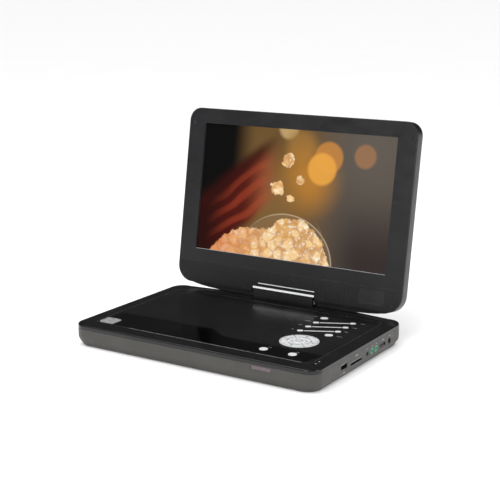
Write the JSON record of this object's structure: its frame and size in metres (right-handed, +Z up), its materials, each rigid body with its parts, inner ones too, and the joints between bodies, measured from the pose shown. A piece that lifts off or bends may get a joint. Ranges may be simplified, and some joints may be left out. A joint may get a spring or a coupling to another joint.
{
  "type": "portable dvd player",
  "caption": "Clamshell portable disc player with a tilting, swivelling screen, top-loading lid, key panel and side sockets.",
  "frame": {"origin": "centre of the base footprint, on the plane the rubber feet rest on", "axes": "+X to the socket side (right seen from the front), -Y to the front edge, +Z up"},
  "size_m": [0.3005, 0.2398, 0.2379],
  "materials": {
    "gloss_black": "polished",
    "strip_black": "mirror polished",
    "body_grey": "fine satin texture",
    "bezel_charcoal": "satin, ribbed lower band",
    "back_black": "fine texture",
    "block_black": "polished",
    "deck_black": "moulded",
    "key_silver": "silver paint",
    "chrome_trim": "bright",
    "badge_silver": "silver foil",
    "display": "display with a picture",
    "grille_black": "perforated",
    "bumper_black": "soft",
    "ir_purple": "dark red tint",
    "lens_clear": "clear",
    "steel": "plain",
    "board_green": "solder mask",
    "cell_blue": "shrink film",
    "jack_black": "moulded",
    "jack_green": "moulded",
    "sled_grey": "moulded"
  },
  "bodies": {
    "base": {"lower_shell": "body_grey", "upper_shell": "gloss_black", "disc_deck": "deck_black", "control_panel": "gloss_black", "panel_strip": "strip_black", "key_bars": "key_silver", "ir_window": "ir_purple", "indicator_lenses": "lens_clear", "rubber_feet": "bumper_black", "case_screws": "steel", "main_board": "board_green", "key_board": "board_green", "battery_pack": "cell_blue", "drive_frame": "steel", "drive_dampers": "bumper_black", "guide_rods": "steel", "spindle_motor": "steel", "feed_motor": "steel", "usb_socket": "steel", "card_socket": "steel", "phone_jack": "jack_black", "av_jacks": "jack_green", "dc_jack": "jack_black", "power_switch": "jack_black", "hinge_brackets": "steel"},
    "lid": {"disc_lid": "gloss_black", "lid_strip": "strip_black", "badge": "badge_silver", "lid_pins": "steel"},
    "turntable": {"turntable": "deck_black"},
    "sled": {"pickup_sled": "sled_grey"},
    "feed_screw": {"feed_screw": "steel"},
    "switch_knob": {"switch_knob": "jack_black"},
    "neck": {"hinge_block": "block_black", "trim_bars": "chrome_trim", "tilt_pins": "steel"},
    "screen": {"swivel_post": "deck_black", "front_bezel": "bezel_charcoal", "rear_cover": "back_black", "lcd_panel": "display", "speaker": "jack_black", "speaker_grille": "grille_black", "driver_board": "board_green", "bezel_bumpers": "bumper_black", "screen_screws": "steel"},
    "volume_down_key": {"volume_down_key": "key_silver"},
    "previous_key": {"previous_key": "key_silver"},
    "zoom_key": {"zoom_key": "key_silver"},
    "volume_up_key": {"volume_up_key": "key_silver"},
    "next_key": {"next_key": "key_silver"},
    "mode_key": {"mode_key": "key_silver"},
    "menu_key": {"menu_key": "key_silver"},
    "setup_key": {"setup_key": "key_silver"},
    "play_key": {"play_key": "key_silver"},
    "stop_key": {"stop_key": "key_silver"},
    "right_key": {"right_key": "key_silver"},
    "up_key": {"up_key": "key_silver"},
    "left_key": {"left_key": "key_silver"},
    "down_key": {"down_key": "key_silver"},
    "ok_key": {"ok_key": "key_silver"}
  },
  "joints": [
    {"name": "screen_tilt", "type": "hinge", "parent": "base", "child": "neck", "pos_m": [0, 0.10194, 0.0343], "axis": [-1, 0, 0], "range_deg": [-99.2, 25]},
    {"name": "screen_swivel", "type": "hinge", "parent": "neck", "child": "screen", "pos_m": [0, 0.1004, 0.0305], "axis": [0, 0.1599, 0.9871], "range_deg": [0, 180]},
    {"name": "lid_open", "type": "hinge", "parent": "base", "child": "lid", "pos_m": [0, 0.0786, 0.0234], "axis": [-1, 0, 0], "range_deg": [0, 75]},
    {"name": "disc_spin", "type": "hinge", "parent": "base", "child": "turntable", "pos_m": [-0.0435, 0.002, 0.019], "axis": [0, 0, 1], "continuous": true},
    {"name": "pickup_feed", "type": "slide", "parent": "base", "child": "sled", "axis": [0, -1, 0], "range_m": [0, 0.03]},
    {"name": "feed_screw_turn", "type": "hinge", "parent": "base", "child": "feed_screw", "pos_m": [-0.0125, -0.04, 0.0114], "axis": [0, 1, 0], "range_deg": [-2, 3380]},
    {"name": "power_slide", "type": "slide", "parent": "base", "child": "switch_knob", "axis": [0, 1, 0], "range_m": [0, 0.0056]},
    {"name": "volume_down_press", "type": "slide", "parent": "base", "child": "volume_down_key", "axis": [0, 0, -1], "range_m": [0, 0.0006], "stiffness_N_per_m": 1200, "springref_m": -0.0004},
    {"name": "previous_press", "type": "slide", "parent": "base", "child": "previous_key", "axis": [0, 0, -1], "range_m": [0, 0.0006], "stiffness_N_per_m": 1200, "springref_m": -0.0004},
    {"name": "zoom_press", "type": "slide", "parent": "base", "child": "zoom_key", "axis": [0, 0, -1], "range_m": [0, 0.0006], "stiffness_N_per_m": 1200, "springref_m": -0.0004},
    {"name": "volume_up_press", "type": "slide", "parent": "base", "child": "volume_up_key", "axis": [0, 0, -1], "range_m": [0, 0.0006], "stiffness_N_per_m": 1200, "springref_m": -0.0004},
    {"name": "next_press", "type": "slide", "parent": "base", "child": "next_key", "axis": [0, 0, -1], "range_m": [0, 0.0006], "stiffness_N_per_m": 1200, "springref_m": -0.0004},
    {"name": "mode_press", "type": "slide", "parent": "base", "child": "mode_key", "axis": [0, 0, -1], "range_m": [0, 0.0006], "stiffness_N_per_m": 1200, "springref_m": -0.0004},
    {"name": "menu_press", "type": "slide", "parent": "base", "child": "menu_key", "axis": [0, 0, -1], "range_m": [0, 0.0006], "stiffness_N_per_m": 1200, "springref_m": -0.0004},
    {"name": "setup_press", "type": "slide", "parent": "base", "child": "setup_key", "axis": [0, 0, -1], "range_m": [0, 0.0006], "stiffness_N_per_m": 1200, "springref_m": -0.0004},
    {"name": "play_press", "type": "slide", "parent": "base", "child": "play_key", "axis": [0, 0, -1], "range_m": [0, 0.0006], "stiffness_N_per_m": 1200, "springref_m": -0.0004},
    {"name": "stop_press", "type": "slide", "parent": "base", "child": "stop_key", "axis": [0, 0, -1], "range_m": [0, 0.0006], "stiffness_N_per_m": 1200, "springref_m": -0.0004},
    {"name": "right_press", "type": "slide", "parent": "base", "child": "right_key", "axis": [0, 0, -1], "range_m": [0, 0.0006], "stiffness_N_per_m": 1200, "springref_m": -0.0004},
    {"name": "up_press", "type": "slide", "parent": "base", "child": "up_key", "axis": [0, 0, -1], "range_m": [0, 0.0006], "stiffness_N_per_m": 1200, "springref_m": -0.0004},
    {"name": "left_press", "type": "slide", "parent": "base", "child": "left_key", "axis": [0, 0, -1], "range_m": [0, 0.0006], "stiffness_N_per_m": 1200, "springref_m": -0.0004},
    {"name": "down_press", "type": "slide", "parent": "base", "child": "down_key", "axis": [0, 0, -1], "range_m": [0, 0.0006], "stiffness_N_per_m": 1200, "springref_m": -0.0004},
    {"name": "ok_press", "type": "slide", "parent": "base", "child": "ok_key", "axis": [0, 0, -1], "range_m": [0, 0.0006], "stiffness_N_per_m": 1200, "springref_m": -0.0004}
  ],
  "couplings": [
    {"joint": "feed_screw_turn", "follows": "pickup_feed", "rad_per_m": 1963.5}
  ]
}
